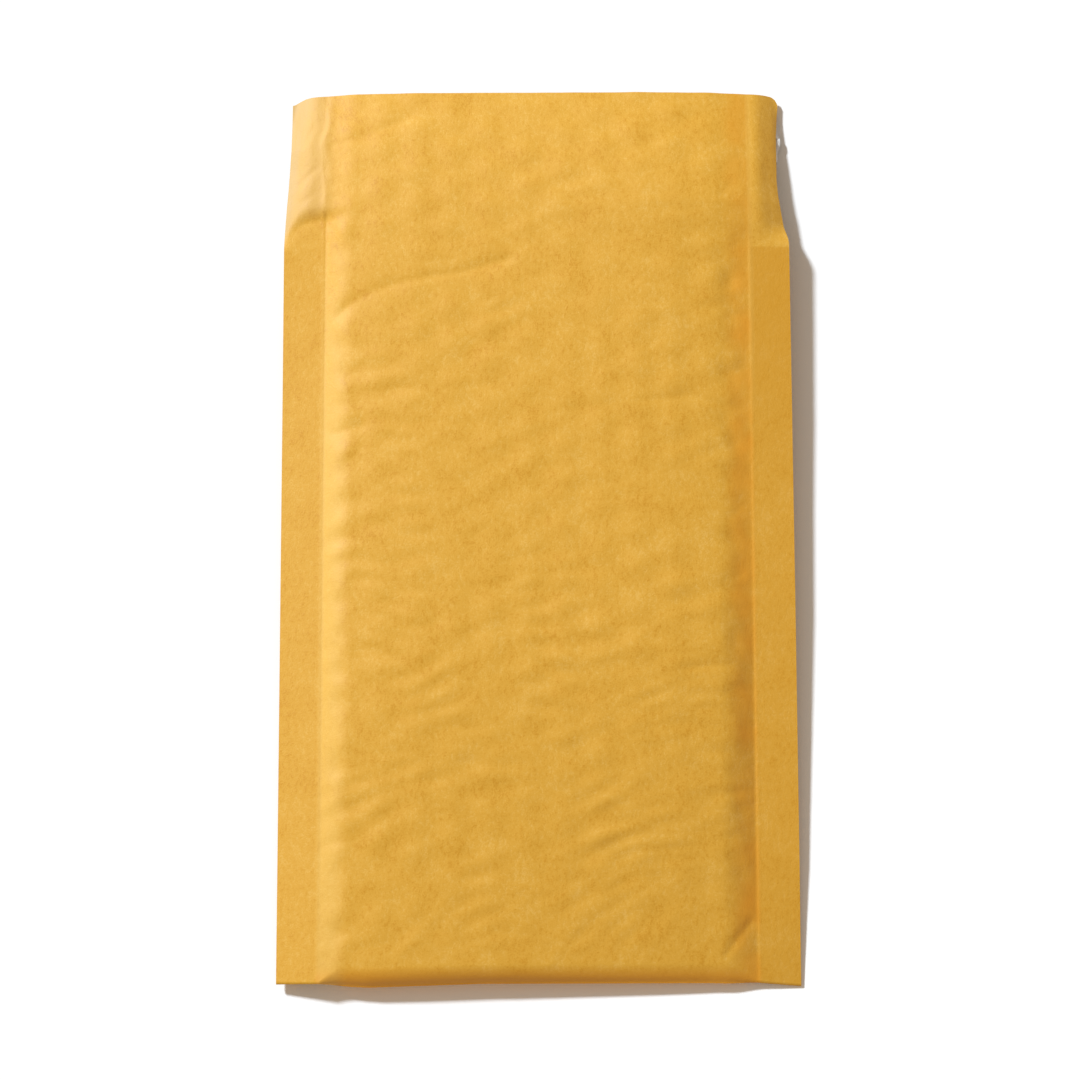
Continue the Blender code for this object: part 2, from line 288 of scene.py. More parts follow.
# %% Swelling and sinking of the pouch
LEFT_SEAM_HEIGHTS = ((-122, -85, -30, 40, 80), (5.0, 4.9, 5.2, 5.5, 5.6))
RIGHT_SEAM_HEIGHTS = ((-122, -101, -74, -20, 35, 80), (1.6, 2.2, 3.2, 5.4, 6.6, 6.8))
LEFT_SEAM_TILTS = ((-122, -60, 40, 80), (-0.20, -0.17, -0.09, 0.0))
RIGHT_SEAM_TILTS = ((-122, -90, -20, 40, 80), (-0.10, -0.02, -0.03, -0.06, -0.06))
SETTLE_SHARES = ((-45, -10, 45), (0.22, 0.25, 0.50))
SETTLE_LENGTHS = ((-45, -10, 45), (80, 90, 90))
SETTLE_POWER, ROLL_ROUND = 1.25, 0.75
FOLD_BOWS = ((-58, -45, -15, 45, 58), (0, -0.6, 0.3, 0.3, 0))
SEAM_PRESSED, CORNER_SKEW, FOLD_POINT = 0.45 * MM, 0.9 * MM, 1.12
CROWN_DROP, CROWN_START = 1.7 * MM, 26 * MM
GAPE_ALONG = ((10, 60, 78, 90, 104, 115, 123), (0, 0.9, 1.1, 1.6, 0.9, 0.3, 0.1))
GAPE_FROM, GAPE_TO = -30 * MM, 50 * MM


def smooth(value):
    """An S-curve from 0 to 1, and flat outside."""
    t = np.clip(value, 0, 1)
    return t * t * (3 - 2 * t)


def below(value, start, over):
    """0 above `start`, rising smoothly to 1 where the value lies `over` below it."""
    return smooth((start - value) / over)


def by_side(across, left, right):
    return np.where(across > 0, right, left)


def swell(across, lag=0.0):
    """0 on the side seams and 1 on the padded middle."""
    roll = by_side(across, LEFT_ROLL, RIGHT_ROLL)
    t = np.clip((SEAM_LINE - lag - np.abs(across)) / (roll - lag), 0, 1)
    wave = np.sin(np.pi / 2 * t)
    return by_side(across, wave, ROLL_ROUND * wave + (1 - ROLL_ROUND) * smooth(t))


def outer_half(across):
    """Half the thickness of the even pouch."""
    return SEAM_HALF + (MID_HEIGHT - SEAM_HALF) * swell(across)


def seam_height(across, y):
    """Height of a seam's middle plane: it sinks towards the bottom corners and leans a little."""
    def read(left, right):
        return by_side(across, np.interp(y / MM, *left), np.interp(y / MM, *right))
    out = np.clip(np.abs(across) - SEAM_LINE, 0, None)
    return (read(LEFT_SEAM_HEIGHTS, RIGHT_SEAM_HEIGHTS) * MM
            + read(LEFT_SEAM_TILTS, RIGHT_SEAM_TILTS) * out)


def settled(across, y):
    """The pad is squeezed flatter towards the foot, and most at the right corner."""
    length = np.interp(across / MM, *SETTLE_LENGTHS) * MM
    share = np.clip(1 - (y - BOTTOM_Y) / length, 0, 1) ** SETTLE_POWER
    return 1 - np.interp(across / MM, *SETTLE_SHARES) * share


def crown_drop(across):
    """The pad is fullest in the middle, and falls away a little before it rounds over."""
    out = np.clip((np.abs(across) - CROWN_START) / (SEAM_LINE - CROWN_START), 0, 1)
    return CROWN_DROP * out ** 2


def gape(across, y):
    """The mouth stands open a little further at its right, and lifts the flap there."""
    return (np.interp(y / MM, *GAPE_ALONG) * MM
            * smooth((across - GAPE_FROM) / (GAPE_TO - GAPE_FROM)))


def on_pouch(across, along, depth):
    """Folds the sheet round the pouch: front panel, bottom fold and address panel."""
    half = outer_half(across)
    skew = CORNER_SKEW * np.clip((across - SEAM_LINE) / SEAM_WIDTH, 0, 1)
    bow = np.interp(across / MM, *FOLD_BOWS) * MM
    centre_y = BOTTOM_Y + bow - skew + half
    # Where a point lies from front to back: the turn is 0 underneath and pi on the address side.
    turn = np.pi * np.clip((along - FOLD_START) / (FOLD_END - FOLD_START), 0, 1)
    run = np.where(along < FOLD_LINE, along, MOUTH_LINE - along) / FOLD_START
    straight_y = MOUTH_Y + (centre_y - MOUTH_Y) * run
    bent = (along > FOLD_START) & (along < FOLD_END)
    y = np.where(bent, centre_y - (half - depth) * np.sin(turn) ** FOLD_POINT, straight_y)
    # How high it lies: on the seams the plies are pressed together, on the pad they stand apart.
    pad = MID_HEIGHT * settled(across, y)
    middle = seam_height(across, y) + (pad - seam_height(across, y)) * swell(across)
    squeezed = (SEAM_PRESSED + (pad - SEAM_PRESSED) * swell(across)) / half
    fall = np.copysign(np.abs(np.cos(turn)) ** FOLD_POINT, np.cos(turn))
    z = middle - squeezed * (half - depth) * fall
    change = gape(across, y) - crown_drop(across) * swell(across)
    return np.stack([across, y, z + change * z / (2 * MID_HEIGHT)], axis=-1)


print("middle plane at", round(MID_HEIGHT / MM, 2), "mm")

# %% [markdown]
# The flap is different. Past the pouch's mouth only one sheet is left, so the padded part sags
# towards its end, and the bare margins beside the film curl down as they like: the left one in
# a shoulder, a terrace and a curled rim, the right one flat at first and bent at its edge. A curl
# is drawn by how far the paper has turned at each step; adding up the steps gives its section.
# The edges aren't straight either: the line where the left margin begins wanders, both outer edges
# draw in as they curl, and the end is cut short at its corners.

# %% Sections of the flap's margins
LEFT_TURNS = ((0, 0.8, 1.6, 2.6, 4.4, 5.4, 6.6, 8.0, 11.5),
              (0.14, 0.22, 0.19, 0.03, 0.04, 0.16, 0.22, 0.29, 0.31))
RIGHT_TURNS = ((0, 1.0, 1.6, 2.6, 3.6, 4.6, 5.6, 6.6, 8.0, 11.5),
               (0.16, 0.06, 0.02, 0.08, 0.18, 0.27, 0.37, 0.41, 0.38, 0.38))
LEFT_WANDER = ((0, 4.4, 8.5, 14, 23.5, 30, 38, 45), (0, 0.6, 0.3, -0.5, -1.1, 0.2, -1.5, -1.5))
LEFT_INSET = ((0, 4.6, 12.7, 18, 23.5, 30, 45), (0, 0.15, 0.6, 0.95, 1.2, 1.5, 1.6))
RIGHT_INSET = ((0, 2, 4.6, 7.3, 10, 12.6, 15.3, 20, 33, 45),
               (0, 0.7, 1.1, 1.4, 1.8, 2.2, 2.6, 2.9, 2.7, 2.0))
CURL_STEP, CURL_SPARE = 0.05 * MM, 2 * MM


def curled_section(turns):
    """Distances out from the seam line, with how far out and down each lies once curled."""
    out = np.arange(0, SEAM_WIDTH + CURL_SPARE, CURL_STEP)
    turn = np.interp(out / MM, *turns)
    step = np.diff(out, prepend=0)
    return out, np.cumsum(np.cos(turn) * step), np.cumsum(np.sin(turn) * step)


left_section, right_section = curled_section(LEFT_TURNS), curled_section(RIGHT_TURNS)
print("the left rim hangs", round(left_section[2][-1] / MM, 1), "mm below its shoulder")

# %% [markdown]
# The flap juts out from the pad like a shelf, and comes near the floor only at its corners, where a
# soft lower limit stands in for it. Its margins don't open at once. They leave the seams' form over
# a few millimetres, on the left along an arc that climbs from the pouch's corner to the seam line.

# %% Outer face of the open flap
FLAP_DROP, FLAP_DROP_POWER = 3.1 * MM, 2.3
LEFT_SHOULDER, RIGHT_SHOULDER, LEFT_CLOSE = 2.1 * MM, 0.5 * MM, 0.08
LEAST_HEIGHT, LANDING, LEFT_ARC = 1.56 * MM, 0.8 * MM, 4
LEFT_EASE, LEFT_DELAY, RIGHT_EASE = 4.6 * MM, 7.5 * MM, 7 * MM
END_SHORT_AT = (-67.5, -66.6, -65.6, -64.2, -62.5, -59, -50, 0, 64, 65.6, 66.5, 67.1, 67.6)
END_SHORT_BY = (2.0, 1.5, 1.0, 0.5, 0.25, 0.1, 0, 0, 0, 0.15, 0.6, 1.3, 2.6)
END_SHORT_POWER, END_SAG = 1.6, 0.6


def flap_drop(along):
    """How far the flap's padded middle sags beyond the mouth."""
    return FLAP_DROP * np.clip((along - MOUTH_LINE) / FLAP_LENGTH, 0, 1) ** FLAP_DROP_POWER


def open_face(across, along):
    """Outer face of the open flap: crown, shoulders, curled margins and uneven end."""
    beyond = (along - MOUTH_LINE) / FLAP_LENGTH
    level = MOUTH_Y + along - MOUTH_LINE
    past = (along - MOUTH_LINE) / MM
    edge = SEAM_LINE + by_side(across, np.interp(past, *LEFT_WANDER) * MM, 0)
    inside = across * SEAM_LINE / edge
    crown = (2 * MID_HEIGHT - flap_drop(along) + gape(across, level)
             - crown_drop(inside) * by_side(across, swell(inside), 1))
    shoulder = by_side(across, LEFT_SHOULDER, RIGHT_SHOULDER) * (1 - swell(inside))
    inset = by_side(across, np.interp(past, *LEFT_INSET), np.interp(past, *RIGHT_INSET)) * MM
    spread = by_side(across, 1 - LEFT_CLOSE * np.clip(1 - beyond, 0, 1), 1)
    out = np.clip(np.abs(across) - edge, 0, None) * spread
    rim = (HALF_WIDTH - edge) * spread

    def read(at, row):
        """Row 1 of a curled section is how far out, and row 2 how far down."""
        return by_side(across, np.interp(at, left_section[0], left_section[row]),
                       np.interp(at, right_section[0], right_section[row]))

    sideways = read(out, 1) / read(rim, 1) * (HALF_WIDTH - edge - inset)
    down = read(out, 2)
    x = np.copysign(np.minimum(np.abs(across), edge) + sideways, across)
    short = (np.interp(x / MM, END_SHORT_AT, END_SHORT_BY) * MM
             * np.clip(beyond, 0, 1) ** END_SHORT_POWER)
    z = crown - shoulder - down - END_SAG * short
    over = z - LEAST_HEIGHT
    z = LEAST_HEIGHT + (over + np.sqrt(over ** 2 + LANDING ** 2)) / 2
    return np.stack([x, MOUTH_Y + beyond * FLAP_LENGTH - short, z], axis=-1)


print("flap end hangs at", round((2 * MID_HEIGHT - FLAP_DROP) / MM, 1), "mm")

# %% [markdown]
# A ply has to keep its thickness where the paper curls, so on the flap a point goes in along the
# face's own normal. The normal is the cross product of two short steps on the face.

# %% From the flat sheet into space
TINY = 0.02 * MM


def on_flap(across, along, depth):
    """Puts points of the sheet on the flap: shut like the seams at first, then open."""
    face = open_face(across, along)
    step_u = open_face(across + TINY, along) - open_face(across - TINY, along)
    step_s = open_face(across, along + TINY) - open_face(across, along - TINY)
    normal = np.cross(step_u, step_s)
    normal /= np.linalg.norm(normal, axis=-1, keepdims=True)
    opened = face - depth[..., None] * normal
    shut = on_pouch(across, np.full_like(along, MOUTH_LINE), depth)
    shut[..., 1] += along - MOUTH_LINE
    shut[..., 2] -= flap_drop(along)
    share = flap_opening(across, along)[..., None]
    return shut + (opened - shut) * share


def flap_opening(across, along):
    """0 on the pouch, rising to 1 where the flap has left the seams' form."""
    out = np.clip((np.abs(across) - SEAM_LINE) / SEAM_WIDTH, 0, 1)
    delay = by_side(across, LEFT_DELAY * (1 - out ** LEFT_ARC), 0)
    return smooth((along - MOUTH_LINE - delay) / by_side(across, LEFT_EASE, RIGHT_EASE))


def in_space(across, along, depth):
    """The place in space of points of the flat sheet, at a depth below its outer face."""
    depth = np.broadcast_to(depth, across.shape).astype(float)
    on_the_flap = (along > MOUTH_LINE)[..., None]
    pouch = on_pouch(across, np.minimum(along, MOUTH_LINE), depth)
    flap = on_flap(across, np.maximum(along, MOUTH_LINE), depth)
    return np.where(on_the_flap, flap, pouch)


print("a point of the seam:", in_space(np.array([0.06]), np.array([MOUTH_LINE]), 0.0).round(4))

# %% [markdown]
# ## The bubbles under the paper
# The film's bubbles sit in a hexagonal lattice, 11 mm apart. Three crossing waves make a smooth
# field with one crest over each bubble. Paper stretched over round pads touches their crowns and
# dips a little between them. It does so unevenly, where the air has shifted, so the field is
# scaled by a slow drift: a sum of long waves in seeded directions, which is smooth, repeats exactly
# on each run, and needs no texture.

# %% Lattice and drift
COLUMN_STEP, ROW_STEP, COLUMN_SHIFT, ROW_SHIFT = 9.98 * MM, 11.14 * MM, -2.9 * MM, 5.7 * MM
DOME_RADIUS = 4.2 * MM


def lattice_wave(across, along):
    """1 over each bubble and -0.5 between three of them."""
    u = (across - COLUMN_SHIFT) / (2 * COLUMN_STEP)
    v = (along - MOUTH_LINE - ROW_SHIFT) / ROW_STEP
    return sum(np.cos(2 * np.pi * wave) for wave in (2 * u, u + v, u - v)) / 3


def drift(across, along, length, seed, waves=14):
    """A smooth uneven field, mostly between -1 and 1, whose bumps are about `length` across."""
    pick = np.random.default_rng(seed)
    field = np.zeros_like(across)
    for turn, phase, stretch in zip(pick.uniform(0, np.pi, waves),
                                    pick.uniform(0, 2 * np.pi, waves),
                                    pick.uniform(0.7, 1.6, waves)):
        run = across * np.cos(turn) + along * np.sin(turn)
        field += np.cos(np.pi * stretch * run / length + phase)
    return field / math.sqrt(waves / 2)


crest = lattice_wave(np.array(COLUMN_SHIFT), np.array(MOUTH_LINE + ROW_SHIFT))
print("the wave over a bubble:", round(float(crest), 2))

# %% [markdown]
# ## Creases
# A mailer that has been handled shows where it was bent. Each crease here is a short line on the
# plan of the address side, with a height in millimetres (below zero is a groove) and a half width.
# A groove that runs across shows a dark upper side and a bright lower side to a lamp at the upper
# left, and a ridge shows the reverse, so the sign can be read from the shading.

# %% The named creases: points in millimetres on the plan, height, half width
CREASES = (
    (((-54.5, 58.3), (-50, 62.3), (-45, 64.8), (-39, 66.9), (-29, 69), (-19, 70.4), (-8, 73.6)),
     -0.44, 1.5),
    (((-56.5, 107.3), (-49, 109.2), (-41, 112.3), (-34, 115.8)), -0.26, 1.5),
    (((-51.5, 36.5), (-38.5, 37.5), (-33, 37.8)), -0.17, 1.5),
    (((-26, 37.3), (-11, 38.6)), -0.13, 1.4),
    (((-56.3, 25.3), (-52, 26.4), (-47.5, 27.3)), -0.32, 1.1),
    (((-43, 21.5), (-39, 25.5), (-36, 27.6), (-29, 28.4), (-21, 28.2)), -0.14, 1.3),
    (((5, 31.4), (12, 32), (20, 33.2)), -0.13, 1.4),
    (((28, 33.8), (35, 34.4), (42, 35.6), (47, 33.6), (54.5, 31.8)), -0.30, 1.5),
    (((40.5, -39.3), (46, -38.6), (52, -38)), -0.32, 1.3),
    (((49.5, -46.5), (55, -43.5)), -0.20, 1.4),
    (((-50.5, -69.6), (-44, -69), (-37, -67.6), (-28, -69.6)), -0.20, 1.4),
    (((-50, -88.2), (-40, -87)), -0.15, 1.6),
    (((49.6, -115.0), (53.2, -110.0), (56.5, -106.2)), -0.95, 0.9),
    (((-8, -104.3), (-5, -101.8), (-1, -98.8), (6, -97.4)), 0.15, 0.9),
    (((-37.5, -116.5), (-33, -110), (-27, -105)), 0.15, 1.0),
    (((3, -117.5), (6, -112.4), (10, -108)), 0.17, 0.8),
    (((10, -108), (18, -102)), 0.10, 1.2),
    (((27, -117), (31, -111), (35.5, -105)), 0.16, 0.9),
    (((39, -72), (47, -70)), 0.14, 1.1),
    (((47, -73.2), (53, -72.2)), -0.28, 1.4),
    (((41, -61.9), (50.5, -61.7)), -0.19, 1.2),
    (((-37, -54), (-30, -52.2), (-22, -51), (-17, -53.6), (-8, -53), (-2, -51)), 0.12, 1.3),
    (((-35, -88.5), (-22, -83)), 0.12, 1.5),
    (((-31, -91), (-22, -88)), -0.10, 1.4),
    (((12, -37.5), (20, -35.5), (27, -31), (33, -27)), 0.11, 1.6),
    (((33, -36.6), (45.5, -31.6)), 0.10, 1.6),
    (((23, -55), (30, -52), (36, -49)), 0.11, 1.5),
    (((30, -57.6), (40, -54)), -0.10, 1.5),
    (((36, -87.2), (40, -86.5)), -0.12, 1.0),
    (((25.5, -89), (43, -81.5), (48, -76.5)), 0.10, 1.6),
    (((-48, -11.6), (-34, -9.6)), -0.10, 1.3),
    (((-47, -18.2), (-28, -18.5), (-11, -16)), -0.12, 1.3),
    (((-47, -33.5), (-38, -32), (-30, -30.5), (-10, -29)), -0.12, 1.3),
    (((-46, -42.8), (-28, -40.5)), -0.09, 1.4),
    (((-47, -62.2), (-30, -62)), -0.10, 1.3),
    (((-52, -76), (-47, -79)), -0.22, 1.5),
    (((-58, -86), (-52, -85)), -0.24, 1.0),
    (((50, -98), (55, -100)), -0.18, 1.2),
    (((50.5, -15.0), (55, -13.5)), -0.24, 1.3),
    (((52, 1.5), (55.5, 5)), -0.18, 1.2),
    (((50.5, 41.5), (55.5, 43.0)), -0.20, 1.4),
    (((51, 92), (54.5, 96)), -0.16, 1.2),
    (((-51.5, 41.5), (-47, 44.5)), -0.18, 1.4),
    (((-51, 18), (-47.5, 21.5)), -0.18, 1.2),
)
MARGIN_CREASES = (
    (((-57.6, 118), (-57.4, 112.5), (-59.4, 108), (-58.9, 100), (-58.2, 93), (-58.8, 87),
      (-57.2, 81)), 0.24, 1.2),
    (((-69.5, 78.5), (-67, 82.6), (-63.5, 85.2), (-59.6, 86)), -0.30, 1.0),
    (((-58.6, 89.5), (-57.4, 84)), -0.20, 0.9),
    (((-65.5, 96.3), (-61, 100.6)), -0.26, 0.9),
    (((-64.6, 107.6), (-61.4, 113.5)), -0.20, 0.9),
    (((-66.2, 99), (-65.6, 112)), -0.16, 0.7),
    (((-64.6, 91), (-61.2, 93.4)), -0.18, 0.9),
)
CREASE_ROUND, CREASE_STEEP = 0.06, 1.2
print(len(CREASES) + len(MARGIN_CREASES), "creases")


# %% Distance to a crease, and the relief of them all
def line_distance(x, y, points):
    """Distance to a line of several points, in metres."""
    best = np.full_like(x, np.inf)
    for (ax, ay), (bx, by) in zip(points, points[1:]):
        ax, ay, bx, by = ax * MM, ay * MM, bx * MM, by * MM
        dx, dy = bx - ax, by - ay
        t = np.clip(((x - ax) * dx + (y - ay) * dy) / (dx * dx + dy * dy), 0, 1)
        best = np.minimum(best, np.hypot(x - ax - t * dx, y - ay - t * dy))
    return best


def creases(x, y, table):
    """The height of all creases of a table: each has a rounded crest and fades out sideways."""
    height = np.zeros_like(x)
    for points, lift, half in table:
        away = line_distance(x, y, points) / (half * MM)
        height += lift * MM * np.exp(-np.sqrt(away ** 2 + CREASE_ROUND) * CREASE_STEEP)
    return height


# %% [markdown]
# Between the named creases the whole sheet is crumpled into low, long wrinkles that run across and
# climb to the right, more steeply towards the foot. They are a sum of seeded waves, short along
# the mailer and long across it, bent by a slow drift so that no two are alike. They are strongest
# at the left and in the lower half, where the film is fullest.

# %% Wrinkles
WAVES, PITCHES, SWAY_LENGTH = 16, (4.8, 11), 17 * MM
CLIMB, FOOT_CLIMB = 0.18, 0.30
BEND, BEND_LENGTH, PATCH_LENGTH = 2.2 * MM, 28 * MM, 22 * MM
LEAST_SHARE = 0.35


def wrinkles(x, y):
    """A field of long low wrinkles, mostly between -1 and 1."""
    climb = CLIMB + FOOT_CLIMB * below(y, -55 * MM, 60 * MM)
    v = y - climb * x + BEND * drift(x, y, BEND_LENGTH, seed=21)
    pick = np.random.default_rng(17)
    field = np.zeros_like(x)
    for pitch, sway, phase in zip(pick.uniform(*PITCHES, WAVES), pick.uniform(-1, 1, WAVES),
                                  pick.uniform(0, 2 * np.pi, WAVES)):
        field += np.cos(2 * np.pi * (v / (pitch * MM) + sway * x / SWAY_LENGTH) + phase)
    low = below(y, 15 * MM, 50 * MM)
    left = below(x, -8 * MM, 30 * MM) * below(y, 55 * MM, 25 * MM)
    patches = np.clip(0.75 + 0.5 * drift(x, y, PATCH_LENGTH, seed=31), 0.15, 1.4)
    full = LEAST_SHARE + (1 - LEAST_SHARE) * np.maximum(low, left)
    return field / math.sqrt(WAVES / 2) * patches * full


print("wrinkles laid")

# %% [markdown]
# The relief is everything that stands out from the folded form by less than a millimetre: bubbles,
# creases, wrinkles, a faint crumple everywhere with thin kinks in it, dents where the paper rounds
# over the rolls, a welt along the inner edge of each seam, and a sharp lip just above the line
# where the bottom was first folded flat. Dents and welt fade out where the flap opens.

# %% Relief of the paper
BUBBLE_PRINT, WRINKLE, CRUMPLE, DENT, WELT = 0.15 * MM, 0.052 * MM, 0.03 * MM, 0.15 * MM, 0.06 * MM
UNEVEN_LENGTH, CRUMPLE_LENGTH, DENT_LENGTH = 26 * MM, 5 * MM, 5.5 * MM
KINK, KINK_LENGTH, KINK_HALF = 1.6, 9 * MM, 0.12
DENT_IN, DENT_HALF, DENT_STRETCH = 5 * MM, 2.4 * MM, 0.5
WELT_AT, WELT_HALF, WELT_FADES = 0.6 * MM, 0.5 * MM, (1.0, 0.6)
FOLD_RIDGE, FOLD_LIFT, FOLD_RIDGE_HALF = 0.5 * MM, 1.0 * MM, 0.6 * MM
BARE_CRUMPLE = 0.3


def relief(across, along):
    """How far the paper stands out from the folded form, in metres."""
    side = np.abs(across)
    top = smooth((along - FOLD_END) / (8 * MM))
    upper = smooth((along - FOLD_END + 3 * MM) / (3 * MM))
    lined = below(side, SEAM_LINE, RIGHT_ROLL)
    padded = below(side, SEAM_LINE + 1 * MM, 2.5 * MM)
    opening = flap_opening(across, along)
    face = in_space(across, along, 0.0)
    x, y = face[..., 0], face[..., 1]

    uneven = 0.75 + 0.35 * drift(across, along, UNEVEN_LENGTH, seed=3)
    bubbles = BUBBLE_PRINT * lattice_wave(across, along) * uneven * top * lined
    bends = (creases(x, y, CREASES) * padded + creases(x, y, MARGIN_CREASES)) * upper
    folds = WRINKLE * wrinkles(x, y) * padded * top

    kinks = KINK * np.exp(-np.abs(drift(across, along, KINK_LENGTH, seed=5)) / KINK_HALF)
    crumple = CRUMPLE * (drift(across, along, CRUMPLE_LENGTH, seed=8) - kinks)
    crumple = crumple * (BARE_CRUMPLE + (1 - BARE_CRUMPLE) * padded) * top

    shoulder = np.exp(-((side - SEAM_LINE + DENT_IN) / DENT_HALF) ** 2)
    dents = DENT * drift(across * DENT_STRETCH, along, DENT_LENGTH, seed=12)
    dents = dents * shoulder * upper * (1 - opening)
    welt = WELT * np.exp(-((side - SEAM_LINE - WELT_AT) / WELT_HALF) ** 2) * upper
    welt *= 1 - by_side(across, *WELT_FADES) * opening
    lip = FOLD_RIDGE * np.exp(-np.abs(along - FOLD_LINE - FOLD_LIFT) / FOLD_RIDGE_HALF) * lined
    return bubbles + bends + folds + crumple + dents + welt + lip


print("deepest crease", min(lift for _, lift, _ in CREASES), "mm")

# %% [markdown]
# ## Laying a ply
# A ply is a thin closed body: a fine net on its outer face, a net with every second line left out
# on its inner face, which is seen less, and a rim that joins them. Its faces are listed by number
# and handed to Blender in one call, because adding so many one at a time is slow.

# %% Ply builder
SHARP_ANGLE = math.radians(60)


def stations(*runs):
    """Stations over several runs (start, end, step), each run in an even number of steps."""
    found = []
    for start, end, step in runs:
        count = 2 * max(1, math.ceil((end - start) / step / 2))
        found += list(np.linspace(start, end, count + 1)[:-1])
    return np.array(found + [runs[-1][1]])


def rim_of(rows, columns, first):
    """The numbers of a net's edge points, once round."""
    net = first + np.arange(rows * columns).reshape(rows, columns)
    return np.concatenate([net[:-1, 0], net[-1, :-1], net[:0:-1, -1], net[0, :0:-1]])


def quads(rows, columns, first):
    """The faces of a net, each as the numbers of its four points."""
    net = first + np.arange(rows * columns).reshape(rows, columns)
    return np.stack([net[:-1, :-1], net[1:, :-1], net[1:, 1:], net[:-1, 1:]], -1).reshape(-1, 4)


def ply(name, across, along, outer, inner):
    """A closed thin piece between two depths, each a function of across and along."""
    fine = np.meshgrid(across, along, indexing="ij")
    coarse = [field[::2, ::2] for field in fine]
    faces_out = in_space(*fine, outer(*fine)).reshape(-1, 3)
    faces_in = in_space(*coarse, inner(*coarse)).reshape(-1, 3)
    first = len(faces_out)
    ring = rim_of(*fine[0].shape, 0)
    inner_ring = rim_of(*coarse[0].shape, first)
    # The rims join in faces of five points, because the inner one has half as many.
    joined = [(ring[2 * i], ring[2 * i + 1], ring[(2 * i + 2) % len(ring)],
               inner_ring[(i + 1) % len(inner_ring)], inner_ring[i])
              for i in range(len(inner_ring))]
    faces = (quads(*fine[0].shape, 0)[:, ::-1].tolist()
             + quads(*coarse[0].shape, first).tolist() + [list(map(int, j)) for j in joined])
    mesh = bpy.data.meshes.new(name)
    mesh.from_pydata(np.concatenate([faces_out, faces_in]).tolist(), [], faces)
    mesh.shade_smooth()
    mesh.set_sharp_from_angle(angle=SHARP_ANGLE)
    piece = bpy.data.objects.new(name, mesh)
    bpy.context.scene.collection.objects.link(piece)
    print(name, len(faces), "faces")
    return piece


def dress(piece, finish, slot, *nodes):
    """Gives a piece its finish, and puts it in the place of the solids that it stands for."""
    piece.data.materials.append(finish.owner)
    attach(piece, "root")
    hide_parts(*nodes)


# %% [markdown]
# ## The kraft paper
# Golden kraft is unbleached pulp with a dye in it: matt, and cloudy at every scale, from fibres a
# tenth of a millimetre wide to soft flecks of a few. The colour is therefore three noises over one
# tone, each faint. The noises meet in one value around zero: above it the tone turns deeper, below
# it lighter.

# %% Kraft: grain, fibres and clouds
KRAFT = (0.722, 0.377, 0.034, 1)
KRAFT_DEEP = (0.630, 0.292, 0.012, 1)
KRAFT_LIGHT = (0.785, 0.448, 0.074, 1)
GRAIN, FIBRES, CLOUDS, FULL_TONE = 1.7, 1.4, 0.95, 0.6

kraft = new_finish("kraft_paper")
place = kraft.add("ShaderNodeTexCoord", output="Object")
grain = kraft.noise(place, 2400, detail=3, roughness=0.65)
fibres = kraft.noise(kraft.stretched(place, (1.0, 0.6, 1.0)), 900, detail=3, roughness=0.55)
clouds = kraft.noise(place, 120, detail=3, roughness=0.42)
mottle = (grain - 0.5) * GRAIN + (fibres - 0.5) * FIBRES + (clouds - 0.5) * CLOUDS
deep = kraft.mix(mottle.rise(0.0, FULL_TONE), KRAFT, KRAFT_DEEP)
cloudy = kraft.mix((0 - mottle).rise(0.0, FULL_TONE), deep, KRAFT_LIGHT)
print("kraft nodes so far:", len(kraft.tree.nodes))

# %% [markdown]
# The tone also changes softly from place to place, and much of that is painted light and shade.
# The pressed seams are a little deeper, and the right one also carries painted shade, most towards
# the mouth. The left roll, which faces the lamp, gets a paler painted sheen, the right roll and the
# foot get a redder painted shade, and a painted highlight follows the heat seal's edge at the upper
# right. The flap's margins, a single ply over nothing, are painted a little lighter, and the left
# one, which faces the lamp, gets a lighter and duller painted sheen, most at its rim. Each mask is a
# share from 0 to 1, worked out from the place on the mailer.

# %% Kraft: masks by place
to_right, upward = kraft.part(place, "X"), kraft.part(place, "Y")
side = abs(to_right)
margin = side.rise(SEAM_LINE, SEAM_LINE + 1.5 * MM)
single = margin * upward.rise(MOUTH_Y - 0.2 * MM, MOUTH_Y + 0.6 * MM)
pressed = margin * (1 - upward.rise(MOUTH_Y - 0.6 * MM, MOUTH_Y + 0.2 * MM))
# Pressed seams are a little deeper. The extra share on the right seam, rising towards the mouth, is
# painted shade.
pressed_and_painted_shade = pressed * (to_right.rise(0, 1 * MM) * (upward.rise(0, 70 * MM) * 0.40 + 0.20) + 0.10)

left_roll = ((0 - to_right).rise(50 * MM, 55 * MM) * (1 - margin)
             * (1 - upward.rise(MOUTH_Y - 15 * MM, MOUTH_Y + 10 * MM)))
# Share of a paler painted sheen on the lamp-facing left roll, less towards the mouth.
roll_sheen = upward.rise(BOTTOM_Y, 0) * 0.10 - upward.rise(20 * MM, 70 * MM) * 0.26 + 0.40
# Painted shade on the right roll, patchy with the clouds and weaker towards the mouth.
right_roll = (to_right.rise(49.5 * MM, 56 * MM) * (1 - margin) * ((clouds - 0.5) * 1.6 + 0.48)
              * (1 - upward.rise(MOUTH_Y - 20 * MM, MOUTH_Y + 10 * MM) * 0.4))
# Painted shade along the foot, where the bottom fold turns away from the lamp.
foot = (1 - upward.rise(BOTTOM_Y + 1 * MM, BOTTOM_Y + 5 * MM)) * (1 - margin)

arc = (1 - ((side - SEAM_LINE).larger(0) * (1 / SEAM_WIDTH)) ** LEFT_ARC) * LEFT_DELAY
